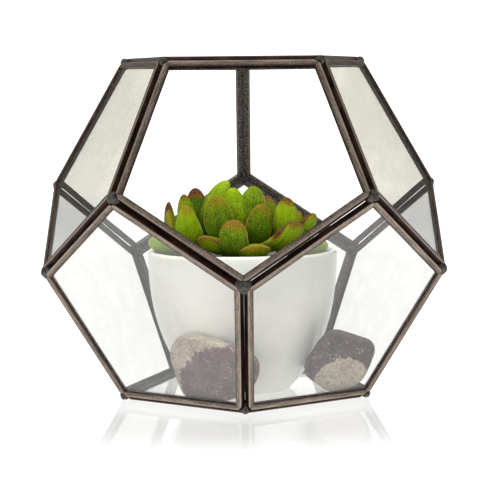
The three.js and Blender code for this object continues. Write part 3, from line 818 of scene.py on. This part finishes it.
def pebble_finish(name, heart, reach, purple_at, sandy_at, brightness):
    """Purple stone and sandy rind, with a ragged boundary along an ellipsoid about its heart. At
    one share of the ellipsoid's reach all is purple, and at the other all is sandy."""
    stone = Finish(bpy.data.materials.new(name))
    spot = stone.place()
    ragged = stone.noise(spot, 420, 4, 0.7)
    cloud = stone.noise(spot, 110, 3)
    grit = stone.noise(spot, 900, 4, 0.9)
    grain = cloud * 0.3 + grit
    flecks = stone.spots(spot, 900).eased(0.36, 0.2) * stone.noise(spot, 250, 2).eased(0.5, 0.62)
    scale = tuple(1 / (r * MM) for r in reach)
    shift = tuple(-h / r for h, r in zip(heart, reach))
    far = stone.distance(stone.stretched(spot, scale, shift))
    rind = (far + (ragged - 0.5) * 0.4 + (cloud - 0.5) * 0.2).eased(purple_at, sandy_at)
    deep, pale = (
        tuple(brightness * part for part in colour)
        for colour in ((0.048, 0.028, 0.031), (0.21, 0.14, 0.145))
    )
    purple = stone.blend(grain.eased(0.48, 0.82), deep, pale)
    purple = stone.blend(flecks * 0.6, purple, (0.72, 0.68, 0.66))
    sandy = stone.blend(grain.eased(0.45, 0.82), (0.16, 0.13, 0.094), (0.58, 0.5, 0.405))
    return stone.surface({
        "Base Color": stone.blend(rind, purple, sandy),
        "Roughness": 0.5 + grit * 0.2,
        "Specular IOR Level": 0.4,
        "Normal": stone.bump(grit * 0.7 + ragged * 0.4, 0.0006, 0.8),
    })


STONES = {
    "left": pebble_finish("purple_stone_left", (-4, -56, 7.5), (29.5, 38, 25.3), 0.98, 1.03, 0.95),
    "right": pebble_finish("purple_stone_right", (46, -30, 5), (15, 17, 16.5), 1.03, 0.98, 0.48),
}
for name, material in STONES.items():
    points, faces = pebble_points(name)
    make_piece(f"stone_{name}", points, faces, material, [f"pebble_{name}"])

# ---------------------------------------------------------------- floor, light and camera
# A plain white table, whose faint gloss in front mirrors the frames, in a soft white studio with
# one lamp above on the left and one in front. What the camera sees of the studio is pure white. The
# glass and the glaze mirror a dimmer one. The lens is the photograph's long one.
SEEN_WHITE = 1.5
TABLE_HALF = 4
TABLE_TOP = -0.0003
# The table is whiter than white, but for a pool round the object's front that is only just white,
# so that the gloss shows there. These are the distances and depths at which they fade, in metres.
POOL_EDGE = 0.2, 0.15
POOL_BACK = 0.02, -0.01
GLOSS_EDGE = 0.17, 0.1
GLOSS_NEAR = 0.06, 0.09


def in_plain_view(finish):
    """1 for what the camera sees, bare or through glass. 0 for reflections and for light."""
    bare, through, mirrored, bounced = (
        finish.add("LightPath", {}, {}, name)
        for name in ("Is Camera Ray", "Is Transmission Ray", "Glossy Depth", "Diffuse Depth")
    )
    ray, turned = bare + through, mirrored + bounced
    return ray.maths("MINIMUM", ray, 1) * (1 - turned.maths("MINIMUM", turned, 1))


mesh = bpy.data.meshes.new("table")
corners = [(x * TABLE_HALF, y * TABLE_HALF, TABLE_TOP) for x, y in [(-1, -1), (1, -1), (1, 1), (-1, 1)]]
mesh.from_pydata(corners, [], [(0, 1, 2, 3)])
table = Finish(bpy.data.materials.new("white_table"))
far = table.distance(table.place())
pool = far.eased(*POOL_EDGE) * table.axis(table.place(), 1).eased(*POOL_BACK)
seen = table.blend(pool, (SEEN_WHITE,) * 3, (0.97, 0.97, 0.96))
mirrored = table.add("LightPath", {}, {}, "Is Glossy Ray")
unseen = table.blend(mirrored, (0.85, 0.85, 0.83), (1.5, 1.5, 1.48))
paper = table.add("BsdfPrincipled", {}, {
    "Base Color": table.blend(pool, (0, 0, 0), (0.1, 0.1, 0.1)),
    "Roughness": 1.0,
    "Specular IOR Level": 0.0,
    "Emission Color": table.blend(in_plain_view(table), unseen, seen),
    "Emission Strength": 1.0,
})
gloss = table.add("BsdfAnisotropic", {}, {"Color": (1, 1, 1, 1), "Roughness": 0.05})
sheen = (0.14 + far.eased(*GLOSS_NEAR) * 0.2) * far.eased(*GLOSS_EDGE) * pool
sheet = table.add("MixShader", {}, {0: sheen, 1: paper, 2: gloss})
mesh.materials.append(table.add("OutputMaterial", {}, {"Surface": sheet}))
floor = bpy.data.objects.new("table", mesh)
bpy.context.scene.collection.objects.link(floor)

studio = Finish(bpy.data.worlds.new("studio"))
way = studio.add("TexCoord", {}, {}, "Generated")
depth, height = studio.axis(way, 1), studio.axis(way, 2)
overhead = height.eased(0.4, 0.95) * 0.75
backdrop = depth.eased(0.9, 0.97) * 0.42
strip = depth.eased(0.93, 0.985) * height.eased(0.45, 0.3) * 1.1
horizon = height.eased(0.13, 0.05) * (0.4 + 0.6 * depth.maths("ABSOLUTE", depth).eased(0.0, 0.9))
brightest = horizon.maths("MAXIMUM", backdrop, horizon.maths("MAXIMUM", horizon, strip))
lit = 0.08 + overhead + brightest
strength = lit + (SEEN_WHITE - lit) * in_plain_view(studio)
sky = studio.add("Background", {}, {"Color": (1, 1, 0.99, 1), "Strength": strength})
bpy.context.scene.world = studio.add("OutputWorld", {}, {"Surface": sky})


def soft_lamp(name, place, aim, width, watts):
    """A square area lamp that faces a point."""
    lamp = bpy.data.lights.new(name, "AREA")
    lamp.size = width
    lamp.energy = watts
    holder = bpy.data.objects.new(name, lamp)
    away = (Vector(place) - Vector(aim)).normalized()
    holder.matrix_world = Matrix.Translation(place) @ away.to_track_quat("Z", "Y").to_matrix().to_4x4()
    holder.visible_glossy = False
    bpy.context.scene.collection.objects.link(holder)


soft_lamp("top_lamp", (-0.2, 0.0, 1.0), (0, 0, 0.06), 0.8, 12)
soft_lamp("front_lamp", (-0.12, -1.2, 0.1), (0, 0, 0.04), 0.7, 15.5)

# The photograph's camera, found by fitting the corners of the frames: its angles, the point that it
# looks at and its distance from there, and its focal length in pixels of the photograph.
AZIMUTH, ELEVATION, ROLL = np.radians([-0.018, 5.287, -0.54])
CAMERA_AIM = np.array([0.002884, 0, 0.069533])
CAMERA_DISTANCE = 0.888
FOCAL_PIXELS = 1829.7
PHOTO_PIXELS = 500
SENSOR = 36
level_back = np.array([np.sin(AZIMUTH), -np.cos(AZIMUTH), 0])
right = np.array([np.cos(AZIMUTH), np.sin(AZIMUTH), 0])
back = level_back * np.cos(ELEVATION) + np.array([0, 0, np.sin(ELEVATION)])
up = np.cross(back, right)
rolled_right = right * np.cos(ROLL) + up * np.sin(ROLL)
rolled_up = up * np.cos(ROLL) - right * np.sin(ROLL)
place = CAMERA_AIM + back * CAMERA_DISTANCE
lens = bpy.data.cameras.new("camera")
lens.lens = FOCAL_PIXELS / PHOTO_PIXELS * SENSOR
lens.clip_start = 0.05
camera = bpy.data.objects.new("camera", lens)
axes = np.stack([rolled_right, rolled_up, back, place], 1)
camera.matrix_world = Matrix([*axes.tolist(), [0, 0, 0, 1]])
bpy.context.scene.collection.objects.link(camera)
bpy.context.scene.camera = camera
bpy.context.scene.view_settings.view_transform = "Standard"
